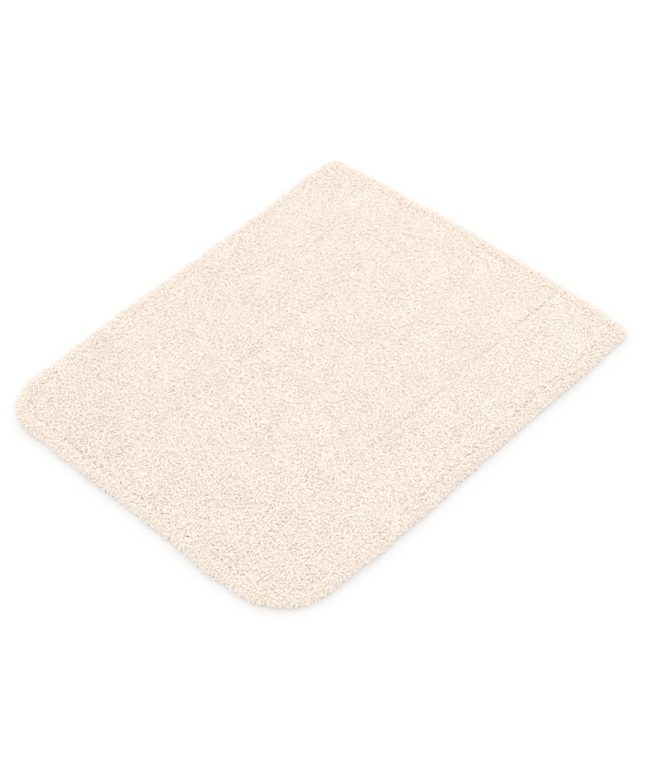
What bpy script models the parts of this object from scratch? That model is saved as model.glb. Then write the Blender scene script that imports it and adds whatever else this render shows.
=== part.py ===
"""Tufted cotton bath mat, 600 x 500 mm, with two rounded and two nearly square corners.

The mat lies flat on Z = 0 with its centre at the origin. X runs along the long sides and
the tufting rows, with the rounded end at +X. Lengths are in metres.
From the floor up it is a non-slip coat inside a sewn hem tape, then the base cloth, then
the pile. The pile wraps over the base cloth's overlocked edge.
"""

import math

import bmesh
import bpy

# Overall size of the mat, over the pile
LENGTH = 0.600
WIDTH = 0.500

# Corner radii, as seen from the square end: left is +Y and right is -Y
ROUND_LEFT_RADIUS = 0.078
ROUND_RIGHT_RADIUS = 0.060
SQUARE_LEFT_RADIUS = 0.016
SQUARE_RIGHT_RADIUS = 0.011

# Layers, from the floor up
COAT_THICKNESS = 0.0012
TAPE_THICKNESS = 0.0012
BASE_THICKNESS = 0.0010
PILE_HEIGHT = 0.0120

# Clearance between pieces that touch
GAP = 0.0003

# Edge of the mat
WRAP_WIDTH = 0.0047
WRAP_BOTTOM = 0.0006
EDGING_WIDTH = 0.0014
EDGE_PILE_WIDTH = 0.0150
SEAM_GROOVE = 0.0024
TAPE_WIDTH = 0.0132

# Lines where the pile parts between two tufting rows, by their distance from the middle
PARTING_WIDTH = 0.0016
PARTING_RIGHT = -0.075
PARTING_LEFT = 0.143

# Sewing threads
NEEDLE_THREAD = 0.0006
BOBBIN_THREAD = 0.00035
THREAD_FLOOR_CLEARANCE = 0.0001

# Blank care label, sewn in at the hem
LABEL_LENGTH = 0.030
LABEL_WIDTH = 0.018
LABEL_THICKNESS = 0.0003
LABEL_FROM_SQUARE_END = 0.100

# Rounding of the soft solids
FIELD_ROUNDING = 0.0025
EDGE_ROUNDING = 0.0045
INNER_ROUNDING = 0.0010
ROUNDING_STEPS = 3

# A corner keeps at least this radius, however far it lies in from the outline
LEAST_RADIUS = 0.0030

# Straight pieces in a quarter circle
ARC_STEPS = 12

# How far cutters reach past what they cut
REACH = 0.020

# Points nearer than this are one point
WELD_DISTANCE = 0.000001

# Faces that meet at less than this angle are shaded as one surface
SMOOTH_ANGLE = math.radians(40)

# Edges where the faces turn by more than this are rounded
RIM_ANGLE = math.radians(45)

# Faces that turn by less than this are one flat face
FLAT_ANGLE = math.radians(0.5)

# Heights that follow from the layers
BASE_BOTTOM = max(COAT_THICKNESS, TAPE_THICKNESS) + GAP
BASE_TOP = BASE_BOTTOM + BASE_THICKNESS
PILE_BOTTOM = BASE_TOP + GAP
PILE_TOP = PILE_BOTTOM + PILE_HEIGHT

# Distances in from the mat's outline
EDGING_INSET = WRAP_WIDTH + GAP
BASE_INSET = EDGING_INSET + EDGING_WIDTH + GAP
SEAM_INSET = EDGE_PILE_WIDTH + SEAM_GROOVE / 2
FIELD_INSET = EDGE_PILE_WIDTH + SEAM_GROOVE
TAPE_INNER_INSET = BASE_INSET + TAPE_WIDTH
COAT_INSET = TAPE_INNER_INSET + GAP


def clear_scene():
    """Remove every object of the opening scene."""
    for thing in list(bpy.data.objects):
        bpy.data.objects.remove(thing, do_unlink=True)


def new_collection(name):
    """Return a new collection linked to the scene."""
    group = bpy.data.collections.new(name)
    bpy.context.scene.collection.children.link(group)
    return group


def new_material(name, colour, roughness):
    """Return a plain non-metallic material."""
    finish = bpy.data.materials.new(name)
    finish.use_nodes = True
    shader = finish.node_tree.nodes["Principled BSDF"]
    shader.inputs["Base Color"].default_value = (*colour, 1.0)
    shader.inputs["Roughness"].default_value = roughness
    shader.inputs["Metallic"].default_value = 0.0
    finish.diffuse_color = (*colour, 1.0)
    return finish


def corner_arc(centre, radius, start):
    """Return the points of a quarter circle that begins at the angle start."""
    points = []
    for step in range(ARC_STEPS + 1):
        angle = start + step / ARC_STEPS * math.pi / 2
        points.append((centre[0] + radius * math.cos(angle), centre[1] + radius * math.sin(angle)))
    return points


def outline(inset):
    """Return the mat's outline moved in by inset, anticlockwise from the +X +Y corner."""
    half_length = LENGTH / 2 - inset
    half_width = WIDTH / 2 - inset
    corners = (
        (1, 1, ROUND_LEFT_RADIUS),
        (-1, 1, SQUARE_LEFT_RADIUS),
        (-1, -1, SQUARE_RIGHT_RADIUS),
        (1, -1, ROUND_RIGHT_RADIUS),
    )
    points = []
    for quarter, (x_side, y_side, outer_radius) in enumerate(corners):
        radius = max(outer_radius - inset, LEAST_RADIUS)
        centre = (x_side * (half_length - radius), y_side * (half_width - radius))
        points += corner_arc(centre, radius, quarter * math.pi / 2)
    return points


def cut_outline(points, limit, keep_above):
    """Return the part of a convex outline on one side of the line Y = limit."""
    side = 1 if keep_above else -1
    kept = []
    for (ax, ay), (bx, by) in zip(points, points[1:] + points[:1]):
        if side * (ay - limit) >= 0:
            kept.append((ax, ay))
        if (ay - limit) * (by - limit) < 0:
            share = (limit - ay) / (by - ay)
            kept.append((ax + share * (bx - ax), limit))
    return kept


def inside(point, points):
    """Tell whether a point is inside a convex anticlockwise outline."""
    for (ax, ay), (bx, by) in zip(points, points[1:] + points[:1]):
        if (bx - ax) * (point.y - ay) - (by - ay) * (point.x - ax) < 0:
            return False
    return True


def closed_spline(curve, points):
    """Add a closed straight-sided spline to a curve."""
    spline = curve.splines.new("POLY")
    spline.points.add(len(points) - 1)
    for point, (x, y) in zip(spline.points, points):
        point.co = (x, y, 0.0, 1.0)
    spline.use_cyclic_u = True


def mesh_of_curve(name, curve, height, group):
    """Turn a curve into a welded mesh object at the given height."""
    guide = bpy.data.objects.new(name + "_curve", curve)
    guide.location.z = height
    group.objects.link(guide)
    bpy.context.view_layer.update()
    graph = bpy.context.evaluated_depsgraph_get()
    mesh = bpy.data.meshes.new_from_object(guide.evaluated_get(graph))
    mesh.name = name
    shape = bmesh.new()
    shape.from_mesh(mesh)
    bmesh.ops.remove_doubles(shape, verts=shape.verts, dist=WELD_DISTANCE)
    bmesh.ops.dissolve_limit(
        shape, angle_limit=FLAT_ANGLE, verts=shape.verts, edges=shape.edges
    )
    bmesh.ops.recalc_face_normals(shape, faces=shape.faces)
    shape.to_mesh(mesh)
    shape.free()
    piece = bpy.data.objects.new(name, mesh)
    group.objects.link(piece)
    piece.matrix_world = guide.matrix_world.copy()
    bpy.data.objects.remove(guide, do_unlink=True)
    return piece


def plate(name, points, bottom, top, group):
    """Return a flat solid of one outline between two heights."""
    curve = bpy.data.curves.new(name, "CURVE")
    curve.dimensions = "2D"
    curve.fill_mode = "BOTH"
    curve.extrude = (top - bottom) / 2
    closed_spline(curve, points)
    return mesh_of_curve(name, curve, (bottom + top) / 2, group)


def closed_loop(shape, points, height):
    """Add a closed loop of edges to a bmesh and return the edges."""
    verts = [shape.verts.new((x, y, height)) for x, y in points]
    return [shape.edges.new(pair) for pair in zip(verts, verts[1:] + verts[:1])]


def ring(name, outer, inner, bottom, top, group):
    """Return a flat ring between two outlines of as many points, and two heights."""
    shape = bmesh.new()
    loops = closed_loop(shape, outer, bottom) + closed_loop(shape, inner, bottom)
    bmesh.ops.bridge_loops(shape, edges=loops)
    made = bmesh.ops.extrude_face_region(shape, geom=shape.faces)
    raised = [item for item in made["geom"] if isinstance(item, bmesh.types.BMVert)]
    bmesh.ops.translate(shape, vec=(0.0, 0.0, top - bottom), verts=raised)
    bmesh.ops.recalc_face_normals(shape, faces=shape.faces)
    mesh = bpy.data.meshes.new(name)
    shape.to_mesh(mesh)
    shape.free()
    piece = bpy.data.objects.new(name, mesh)
    group.objects.link(piece)
    return piece


def thread_ring(name, inset, diameter, height, group):
    """Return a closed thread that runs round the mat, moved in from its outline."""
    curve = bpy.data.curves.new(name, "CURVE")
    curve.dimensions = "3D"
    curve.fill_mode = "FULL"
    curve.bevel_depth = diameter / 2
    curve.bevel_resolution = 2
    closed_spline(curve, outline(inset))
    return mesh_of_curve(name, curve, height, group)


def box_cutter(name, low, high, group):
    """Return a hidden box between two corners."""
    mesh = bpy.data.meshes.new(name)
    shape = bmesh.new()
    bmesh.ops.create_cube(shape, size=1.0)
    size = [b - a for a, b in zip(low, high)]
    middle = [(a + b) / 2 for a, b in zip(low, high)]
    bmesh.ops.scale(shape, vec=size, verts=shape.verts)
    bmesh.ops.translate(shape, vec=middle, verts=shape.verts)
    shape.to_mesh(mesh)
    shape.free()
    box = bpy.data.objects.new(name, mesh)
    group.objects.link(box)
    hide_cutter(box)
    return box


def hide_cutter(cutter):
    """Keep a cutter out of renders and show it as wires."""
    cutter.hide_render = True
    cutter.display_type = "WIRE"


def cut(piece, cutter, operation):
    """Add a Boolean with a cutter to a piece."""
    modifier = piece.modifiers.new(operation.lower() + "_" + cutter.name, "BOOLEAN")
    modifier.operation = operation
    modifier.solver = "EXACT"
    modifier.object = cutter


def round_top_edges(piece, width, chosen=None):
    """Round the top edges of a plate, all of them or those whose middle is chosen."""
    shape = bmesh.new()
    shape.from_mesh(piece.data)
    top = max(vertex.co.z for vertex in shape.verts)
    edges = []
    for edge in shape.edges:
        middle = (edge.verts[0].co + edge.verts[1].co) / 2
        level = all(abs(vertex.co.z - top) < WELD_DISTANCE for vertex in edge.verts)
        on_rim = len(edge.link_faces) == 2 and edge.calc_face_angle(0.0) > RIM_ANGLE
        if level and on_rim and (chosen is None or chosen(middle)):
            edges.append(edge)
    bmesh.ops.bevel(
        shape,
        geom=edges,
        offset=width,
        segments=ROUNDING_STEPS,
        profile=0.5,
        affect="EDGES",
        clamp_overlap=False,
    )
    shape.to_mesh(piece.data)
    shape.free()


def dress(piece, finish, smooth=False):
    """Give a piece its material and its shading."""
    piece.data.materials.clear()
    piece.data.materials.append(finish)
    if smooth:
        piece.data.shade_smooth()
        piece.data.set_sharp_from_angle(angle=SMOOTH_ANGLE)


def region_boxes(width, group):
    """Return the six boxes that divide a ring of the given width into plain lengths.

    The two ends and the two sides are straight lengths, and the rounded end has a bend at
    each corner. The square end's length takes in its two small corners.
    """
    x_left = LENGTH / 2 - ROUND_LEFT_RADIUS
    y_left = WIDTH / 2 - ROUND_LEFT_RADIUS
    x_right = LENGTH / 2 - ROUND_RIGHT_RADIUS
    y_right = -WIDTH / 2 + ROUND_RIGHT_RADIUS
    x_square = -LENGTH / 2 + width
    x_end = LENGTH / 2 - width
    far_x = LENGTH / 2 + REACH
    far_y = WIDTH / 2 + REACH
    half_gap = GAP / 2
    spans = {
        "square_end": ((-far_x, x_square - half_gap), (-far_y, far_y)),
        "right_side": ((x_square + half_gap, x_right - half_gap), (-far_y, 0.0)),
        "left_side": ((x_square + half_gap, x_left - half_gap), (0.0, far_y)),
        "right_bend": ((x_right + half_gap, far_x), (-far_y, y_right - half_gap)),
        "left_bend": ((x_left + half_gap, far_x), (y_left + half_gap, far_y)),
        "round_end": ((x_end, far_x), (y_right + half_gap, y_left - half_gap)),
    }
    boxes = {}
    for region, ((x_low, x_high), (y_low, y_high)) in spans.items():
        low = (x_low, y_low, -REACH)
        high = (x_high, y_high, PILE_TOP + REACH)
        boxes[region] = box_cutter(region + "_box", low, high, group)
    return boxes


def make_base_cloth(parts, finish):
    """Make the woven cloth that the pile is tufted through."""
    cloth = plate("base_cloth", outline(BASE_INSET), BASE_BOTTOM, BASE_TOP, parts)
    dress(cloth, finish)


def label_place():
    """Return the low and high X and Y of the care label, inward from the right-hand tape."""
    x_middle = -LENGTH / 2 + LABEL_FROM_SQUARE_END
    y_low = -WIDTH / 2 + TAPE_INNER_INSET + GAP
    x_span = (x_middle - LABEL_WIDTH / 2, x_middle + LABEL_WIDTH / 2)
    return x_span, (y_low, y_low + LABEL_LENGTH)


def make_non_slip_backing(parts, cutters, finish):
    """Make the rubbery coat on the underside, left off where the label lies."""
    coat = plate("non_slip_backing", outline(COAT_INSET), 0.0, COAT_THICKNESS, parts)
    (x_low, x_high), (y_low, y_high) = label_place()
    low = (x_low - GAP, y_low - REACH, -REACH)
    high = (x_high + GAP, y_high + GAP, COAT_THICKNESS + REACH)
    pocket = box_cutter("label_pocket", low, high, cutters)
    cut(coat, pocket, "DIFFERENCE")
    dress(coat, finish)


def make_hem_tape(parts, cutters, boxes, finish):
    """Make the tape sewn under the edge, with the channel that its seam pulls into it."""
    half_channel = BOBBIN_THREAD / 2 + GAP
    channel_top = THREAD_FLOOR_CLEARANCE + BOBBIN_THREAD + GAP
    outer = outline(SEAM_INSET - half_channel)
    inner = outline(SEAM_INSET + half_channel)
    channel = ring("seam_channel", outer, inner, -REACH, channel_top, cutters)
    hide_cutter(channel)
    outer = outline(BASE_INSET)
    inner = outline(TAPE_INNER_INSET)
    for region, box in boxes.items():
        tape = ring("hem_tape_" + region, outer, inner, 0.0, TAPE_THICKNESS, parts)
        cut(tape, channel, "DIFFERENCE")
        cut(tape, box, "INTERSECT")
        dress(tape, finish)


def make_overlock_edging(parts, finish):
    """Make the yarn that binds the edges of the base cloth and the tape."""
    outer = outline(EDGING_INSET)
    inner = outline(EDGING_INSET + EDGING_WIDTH)
    edging = ring("overlock_edging", outer, inner, WRAP_BOTTOM, BASE_TOP, parts)
    dress(edging, finish)


def make_hem_threads(parts, finish):
    """Make the two threads of the hem's lockstitch seam."""
    needle_height = BASE_TOP + GAP + NEEDLE_THREAD / 2
    needle = thread_ring("hem_needle_thread", SEAM_INSET, NEEDLE_THREAD, needle_height, parts)
    dress(needle, finish, smooth=True)
    bobbin_height = THREAD_FLOOR_CLEARANCE + BOBBIN_THREAD / 2
    bobbin = thread_ring("hem_bobbin_thread", SEAM_INSET, BOBBIN_THREAD, bobbin_height, parts)
    dress(bobbin, finish, smooth=True)


def make_edge_pile(parts, cutters, boxes, finish):
    """Make the pile outside the seam, which wraps over the mat's edge."""
    step = plate("edge_step", outline(EDGING_INSET - GAP), -REACH, PILE_BOTTOM, cutters)
    hide_cutter(step)
    middle_line = outline(EDGE_PILE_WIDTH / 2)

    def is_inner(point):
        """Tell whether a point is nearer the seam than the mat's outline."""
        return inside(point, middle_line)

    def is_outer(point):
        """Tell whether a point is nearer the mat's outline than the seam."""
        return not inside(point, middle_line)

    outer = outline(0.0)
    inner = outline(EDGE_PILE_WIDTH)
    for region, box in boxes.items():
        pile = ring("edge_pile_" + region, outer, inner, WRAP_BOTTOM, PILE_TOP, parts)
        round_top_edges(pile, EDGE_ROUNDING, is_outer)
        round_top_edges(pile, INNER_ROUNDING, is_inner)
        cut(pile, step, "DIFFERENCE")
        cut(pile, box, "INTERSECT")
        dress(pile, finish, smooth=True)


def make_pile_bands(parts, finish):
    """Make the pile inside the seam, as the three bands between its partings."""
    half = PARTING_WIDTH / 2
    field = outline(FIELD_INSET)
    spans = {
        "right": (-WIDTH, PARTING_RIGHT - half),
        "middle": (PARTING_RIGHT + half, PARTING_LEFT - half),
        "left": (PARTING_LEFT + half, WIDTH),
    }
    for band, (low, high) in spans.items():
        edge = cut_outline(cut_outline(field, low, True), high, False)
        pile = plate("pile_band_" + band, edge, PILE_BOTTOM, PILE_TOP, parts)
        round_top_edges(pile, FIELD_ROUNDING)
        dress(pile, finish, smooth=True)


def make_care_label(parts, finish):
    """Make the blank label that hangs from the hem under the mat."""
    (x_low, x_high), (y_low, y_high) = label_place()
    corners = [(x_low, y_low), (x_high, y_low), (x_high, y_high), (x_low, y_high)]
    top = BASE_BOTTOM - GAP
    label = plate("care_label", corners, top - LABEL_THICKNESS, top, parts)
    dress(label, finish)


def main():
    """Build the whole mat."""
    clear_scene()
    parts = new_collection("bath_mat")
    cutters = new_collection("cutters")
    boxes = region_boxes(TAPE_INNER_INSET + GAP, cutters)
    pile_finish = new_material("cream_cotton_pile", (0.91, 0.80, 0.69), 0.95)
    cloth_finish = new_material("natural_base_cloth", (0.80, 0.72, 0.60), 0.90)
    tape_finish = new_material("cream_cotton_tape", (0.86, 0.78, 0.67), 0.85)
    coat_finish = new_material("cream_latex_coat", (0.83, 0.78, 0.67), 0.60)
    thread_finish = new_material("cream_sewing_thread", (0.90, 0.82, 0.72), 0.70)
    label_finish = new_material("white_satin_label", (0.90, 0.90, 0.88), 0.45)
    make_non_slip_backing(parts, cutters, coat_finish)
    make_hem_tape(parts, cutters, boxes, tape_finish)
    make_base_cloth(parts, cloth_finish)
    make_overlock_edging(parts, thread_finish)
    make_hem_threads(parts, thread_finish)
    make_edge_pile(parts, cutters, boxes, pile_finish)
    make_pile_bands(parts, pile_finish)
    make_care_label(parts, label_finish)


main()
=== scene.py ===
"""Looks of a cotton bath mat: cut pile, woven ground, hem and non-slip underside.

Lengths are in metres. X runs along the mat towards its rounded end, Y to its left side
and Z up from the floor.
"""

import logging
import math
from dataclasses import dataclass
from enum import Enum

import bmesh
import bpy
import numpy as np
from mathutils import Matrix, Vector


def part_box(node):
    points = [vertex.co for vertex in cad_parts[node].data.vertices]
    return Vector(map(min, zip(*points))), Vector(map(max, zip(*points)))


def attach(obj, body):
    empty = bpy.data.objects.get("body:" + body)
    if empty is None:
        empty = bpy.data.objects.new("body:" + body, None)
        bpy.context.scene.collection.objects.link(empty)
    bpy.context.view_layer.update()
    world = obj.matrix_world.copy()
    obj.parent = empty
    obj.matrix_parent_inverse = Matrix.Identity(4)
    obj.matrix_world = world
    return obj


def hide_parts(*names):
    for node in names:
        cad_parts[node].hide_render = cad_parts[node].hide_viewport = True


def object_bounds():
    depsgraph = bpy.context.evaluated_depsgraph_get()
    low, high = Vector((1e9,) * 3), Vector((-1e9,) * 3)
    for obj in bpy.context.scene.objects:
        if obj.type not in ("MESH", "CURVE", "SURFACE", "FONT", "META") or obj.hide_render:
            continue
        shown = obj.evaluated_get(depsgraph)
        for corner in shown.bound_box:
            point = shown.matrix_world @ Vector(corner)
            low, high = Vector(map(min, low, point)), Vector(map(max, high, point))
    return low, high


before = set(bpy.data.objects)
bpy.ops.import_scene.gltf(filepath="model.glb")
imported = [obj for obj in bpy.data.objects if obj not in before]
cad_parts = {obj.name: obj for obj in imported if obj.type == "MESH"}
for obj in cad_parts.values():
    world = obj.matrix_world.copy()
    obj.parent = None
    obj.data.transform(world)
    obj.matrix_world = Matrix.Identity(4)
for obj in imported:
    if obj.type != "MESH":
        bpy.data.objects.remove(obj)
CAD_BOX = [[float(value) for value in corner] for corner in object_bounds()]

LOG = logging.getLogger("bath_mat")
BODY = "root"
SEED = 20

YARN_MAP = "yarn"  # UV: u round the yarn, v along it in centimetres
CLOTH_MAP = "cloth"  # UV: u along the cloth, v across it, in metres
BAKE_MAP = "OFBake"  # UV: a square of its own for each strand
# the tone attribute also carries painted shade, darker where the pile is loose
TONE = "tone"  # attribute: how light a strand is, from about -1 to 1
CENTIMETRE = 0.01
WELD = 1e-7
TINY = 1e-12


class Corner(Enum):
    """A corner of the mat in turning order: the signs of its X and Y, and its radius."""

    ROUND_LEFT = (1, 1, 0.078)
    SQUARE_LEFT = (-1, 1, 0.016)
    SQUARE_RIGHT = (-1, -1, 0.011)
    ROUND_RIGHT = (1, -1, 0.060)


class Side(Enum):
    """A side of the mat, as the direction that it faces."""

    ROUND_END = (1.0, 0.0)
    SQUARE_END = (-1.0, 0.0)
    LEFT = (0.0, 1.0)
    RIGHT = (0.0, -1.0)


class Band(Enum):
    """A band of pile rows between two partings, and the pieces that it is made in."""

    RIGHT = ("pile_band_right", 3)
    MIDDLE = ("pile_band_middle", 4)
    LEFT = ("pile_band_left", 2)


class Reach(Enum):
    """The region of the border that a point belongs to, by the name of its nodes."""

    SQUARE_END = "square_end"
    ROUND_END = "round_end"
    LEFT_SIDE = "left_side"
    RIGHT_SIDE = "right_side"
    LEFT_BEND = "left_bend"
    RIGHT_BEND = "right_bend"


def unit(vectors: np.ndarray) -> np.ndarray:
    """Return the vectors at length one."""
    return vectors / np.maximum(np.linalg.norm(vectors, axis=-1, keepdims=True), TINY)


def gone_along(line: np.ndarray) -> np.ndarray:
    """Return how far along a line each of its points lies."""
    return np.concatenate([[0.0], np.linalg.norm(np.diff(line, axis=0), axis=1).cumsum()])


def evenly(length: float, step: float) -> np.ndarray:
    """Return places about a step apart along a length, half a step in from its ends."""
    count = round(length / step)
    return (np.arange(count) + 0.5) * length / count


def bell(values: np.ndarray) -> np.ndarray:
    """Return shares that fall smoothly from 1 at zero to nearly 0 at two."""
    return np.exp(-(values**2))


@dataclass(frozen=True)
class Track:
    """A closed line round the mat in even steps.

    Attributes:
        points: X and Y of each step.
        along: the line's direction at each step.
        outward: the direction out of the mat at each step.
    """

    points: np.ndarray
    along: np.ndarray
    outward: np.ndarray


@dataclass(frozen=True)
class Outline:
    """The mat's edge, a rectangle with four different rounded corners."""

    half_length: float
    half_width: float
    least_radius: float = 0.003
    arc_steps: int = 16
    straight_step: float = 0.004

    @property
    def half(self) -> np.ndarray:
        """Return half the length and half the width."""
        return np.array([self.half_length, self.half_width])

    def radius_at(self, xy: np.ndarray) -> np.ndarray:
        """Return the radius of the corner nearest to each point."""
        radius = np.zeros(xy.shape[:-1])
        for corner in Corner:
            sign_x, sign_y, size = corner.value
            near = (xy[..., 0] * sign_x >= 0) & (xy[..., 1] * sign_y >= 0)
            radius[near] = size
        return radius

    def past_corner(self, xy: np.ndarray) -> np.ndarray:
        """Return how far each point is beyond its corner's centre in X and in Y."""
        return np.abs(xy) - (self.half - self.radius_at(xy)[..., None])

    def inset(self, xy: np.ndarray) -> np.ndarray:
        """Return how far inside the edge each point lies."""
        past = self.past_corner(xy)
        round_part = np.linalg.norm(np.maximum(past, 0), axis=-1)
        return self.radius_at(xy) - round_part - np.minimum(past.max(axis=-1), 0)

    def outward(self, xy: np.ndarray) -> np.ndarray:
        """Return the direction from each point straight to the nearest edge."""
        past = self.past_corner(xy)
        straight = (past == past.max(axis=-1, keepdims=True)).astype(float)
        in_corner = (past > 0).all(axis=-1, keepdims=True)
        return unit(np.where(in_corner, past, straight)) * np.where(xy < 0, -1, 1)

    def turns(self, inset: float) -> list[tuple[np.ndarray, float]]:
        """Return the centre and the radius of each corner of the line at an inset."""
        made = []
        for corner in Corner:
            sign_x, sign_y, size = corner.value
            radius = max(size - inset, self.least_radius)
            made.append(((self.half - inset - radius) * (sign_x, sign_y), radius))
        return made

    def stations(self, inset: float) -> np.ndarray:
        """Return points round the line at an inset, as many as at any other inset.

        Args:
            inset: distance inside the edge.

        Returns:
            X and Y of each point, counter-clockwise.
        """
        arcs = []
        for index, (centre, radius) in enumerate(self.turns(inset)):
            angles = np.radians(90 * index + np.linspace(0, 90, self.arc_steps + 1))
            arcs.append(centre + radius * np.stack([np.cos(angles), np.sin(angles)], 1))
        points = []
        for index, arc in enumerate(arcs):
            ahead = arcs[(index + 1) % len(arcs)][0]
            side = 2 * (self.half_length if index % 2 == 0 else self.half_width)
            share = np.linspace(0, 1, round(side / self.straight_step), endpoint=False)
            points += [arc, arc[-1] + (ahead - arc[-1]) * share[1:, None]]
        return np.vstack(points)

    def track(self, inset: float, step: float) -> Track:
        """Return the line at an inset in even steps.

        Args:
            inset: distance inside the edge.
            step: distance from each point to the next.

        Returns:
            The line's points and directions.
        """
        ring = self.stations(inset)
        ring = np.vstack([ring, ring[:1]])
        gone = gone_along(ring)
        here = evenly(gone[-1], step)

        def at(where: np.ndarray) -> np.ndarray:
            """Return the points at distances along the line."""
            where = where % gone[-1]
            return np.stack([np.interp(where, gone, ring[:, axis]) for axis in (0, 1)], 1)

        along = unit(at(here + step / 4) - at(here - step / 4))
        return Track(at(here), along, np.stack([along[:, 1], -along[:, 0]], 1))

    def trim(self, bm: bmesh.types.BMesh, inset: float) -> None:
        """Cut the corners of a flat mesh round, along the line at an inset.

        Args:
            bm: the mesh, which reaches to the inset on every side.
            inset: distance inside the edge.
        """
        for index, (centre, radius) in enumerate(self.turns(inset)):
            for step in range(self.arc_steps):
                angle = math.radians(90 * (index + (step + 0.5) / self.arc_steps))
                normal = Vector((math.cos(angle), math.sin(angle), 0))
                bmesh.ops.bisect_plane(
                    bm,
                    geom=bm.verts[:] + bm.edges[:] + bm.faces[:],
                    plane_co=Vector((*centre, 0)) + normal * radius,
                    plane_no=normal,
                    clear_outer=True,
                )

    def reach_of(self, xy: np.ndarray, width: float) -> list[Reach]:
        """Return the border region of each point.

        Args:
            xy: the points.
            width: the border's width.

        Returns:
            One region for each point.
        """
        bend_left = self.half - Corner.ROUND_LEFT.value[2]
        bend_right = self.half - Corner.ROUND_RIGHT.value[2]
        regions = []
        for x, y in xy:
            if x < width - self.half_length:
                regions.append(Reach.SQUARE_END)
            elif y > 0 and x > bend_left[0] and y > bend_left[1]:
                regions.append(Reach.LEFT_BEND)
            elif y < 0 and x > bend_right[0] and -y > bend_right[1]:
                regions.append(Reach.RIGHT_BEND)
            elif x > self.half_length - width:
                regions.append(Reach.ROUND_END)
            else:
                regions.append(Reach.LEFT_SIDE if y > 0 else Reach.RIGHT_SIDE)
        return regions


@dataclass(frozen=True)
class Bulge:
    """A stretch of a side where the edge strays from its straight line.

    Attributes:
        side: the side that strays.
        place: where along the side, as X or Y.
        spread: how far along the side it dies away.
        push: how far the edge moves out.
    """

    side: Side
    place: float
    spread: float
    push: float


@dataclass(frozen=True)
class EdgeWave:
    """The soft unevenness of the mat's outline, which every piece follows."""

    outline: Outline
    bulges: tuple[Bulge, ...] = (
        Bulge(Side.RIGHT, -0.240, 0.045, 0.0045),
        Bulge(Side.RIGHT, 0.070, 0.090, 0.0020),
        Bulge(Side.RIGHT, 0.215, 0.025, -0.0015),
        Bulge(Side.SQUARE_END, -0.010, 0.110, 0.0040),
        Bulge(Side.SQUARE_END, 0.130, 0.050, 0.0012),
        Bulge(Side.SQUARE_END, -0.222, 0.030, -0.0035),
        Bulge(Side.SQUARE_END, 0.225, 0.028, -0.0035),
        Bulge(Side.LEFT, -0.200, 0.035, 0.0024),
        Bulge(Side.LEFT, 0.070, 0.045, 0.0022),
        Bulge(Side.LEFT, 0.150, 0.035, 0.0018),
        Bulge(Side.LEFT, 0.225, 0.030, -0.0024),
        Bulge(Side.ROUND_END, 0.120, 0.045, 0.0036),
        Bulge(Side.ROUND_END, -0.160, 0.030, -0.0014),
    )
    depth: float = 0.050

    def moved(self, co: np.ndarray) -> np.ndarray:
        """Return the points where the uneven outline takes them.

        Args:
            co: points, in the last axis X, Y and Z.

        Returns:
            The moved points.
        """
        moved = co.copy()
        for bulge in self.bulges:
            facing = np.array(bulge.side.value)
            here = co[..., 1] if facing[0] else co[..., 0]
            from_side = abs(facing) @ self.outline.half - co[..., :2] @ facing
            share = bell((here - bulge.place) / bulge.spread) * bell(from_side / self.depth)
            moved[..., :2] += (bulge.push * share)[..., None] * facing
        return moved


@dataclass(frozen=True)
class Swirl:
    """A smooth uneven field over the mat, summed from waves in all directions."""

    seed: int
    shortest: float
    longest: float
    waves: int = 14

    def at(self, xy: np.ndarray) -> np.ndarray:
        """Return the field at each point, mostly from -1.5 to 1.5."""
        rng = np.random.default_rng(self.seed)
        total = np.zeros(xy.shape[:-1])
        for _ in range(self.waves):
            heading = rng.uniform(0, 2 * math.pi)
            length = rng.uniform(self.shortest, self.longest)
            wave = 2 * math.pi / length * np.array([math.cos(heading), math.sin(heading)])
            total += np.cos(xy @ wave + rng.uniform(0, 2 * math.pi))
        return total / math.sqrt(self.waves / 2)


@dataclass(frozen=True)
class Step:
    """One step of a strand: its new heading, its length and its girth over the last."""

    heading: tuple[float, float, float]
    length: float
    girth: float = 1.0


@dataclass(frozen=True)
class Strand:
    """A short length of yarn as arrays, ready to be repeated.

    Attributes:
        co: its points.
        corners: the point at each face corner.
        starts: each face's first corner.
        yarn_uv: the yarn map at each corner.
        bake_uv: the place of each corner in the strand's own square.
    """

    co: np.ndarray
    corners: np.ndarray
    starts: np.ndarray
    yarn_uv: np.ndarray
    bake_uv: np.ndarray


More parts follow.
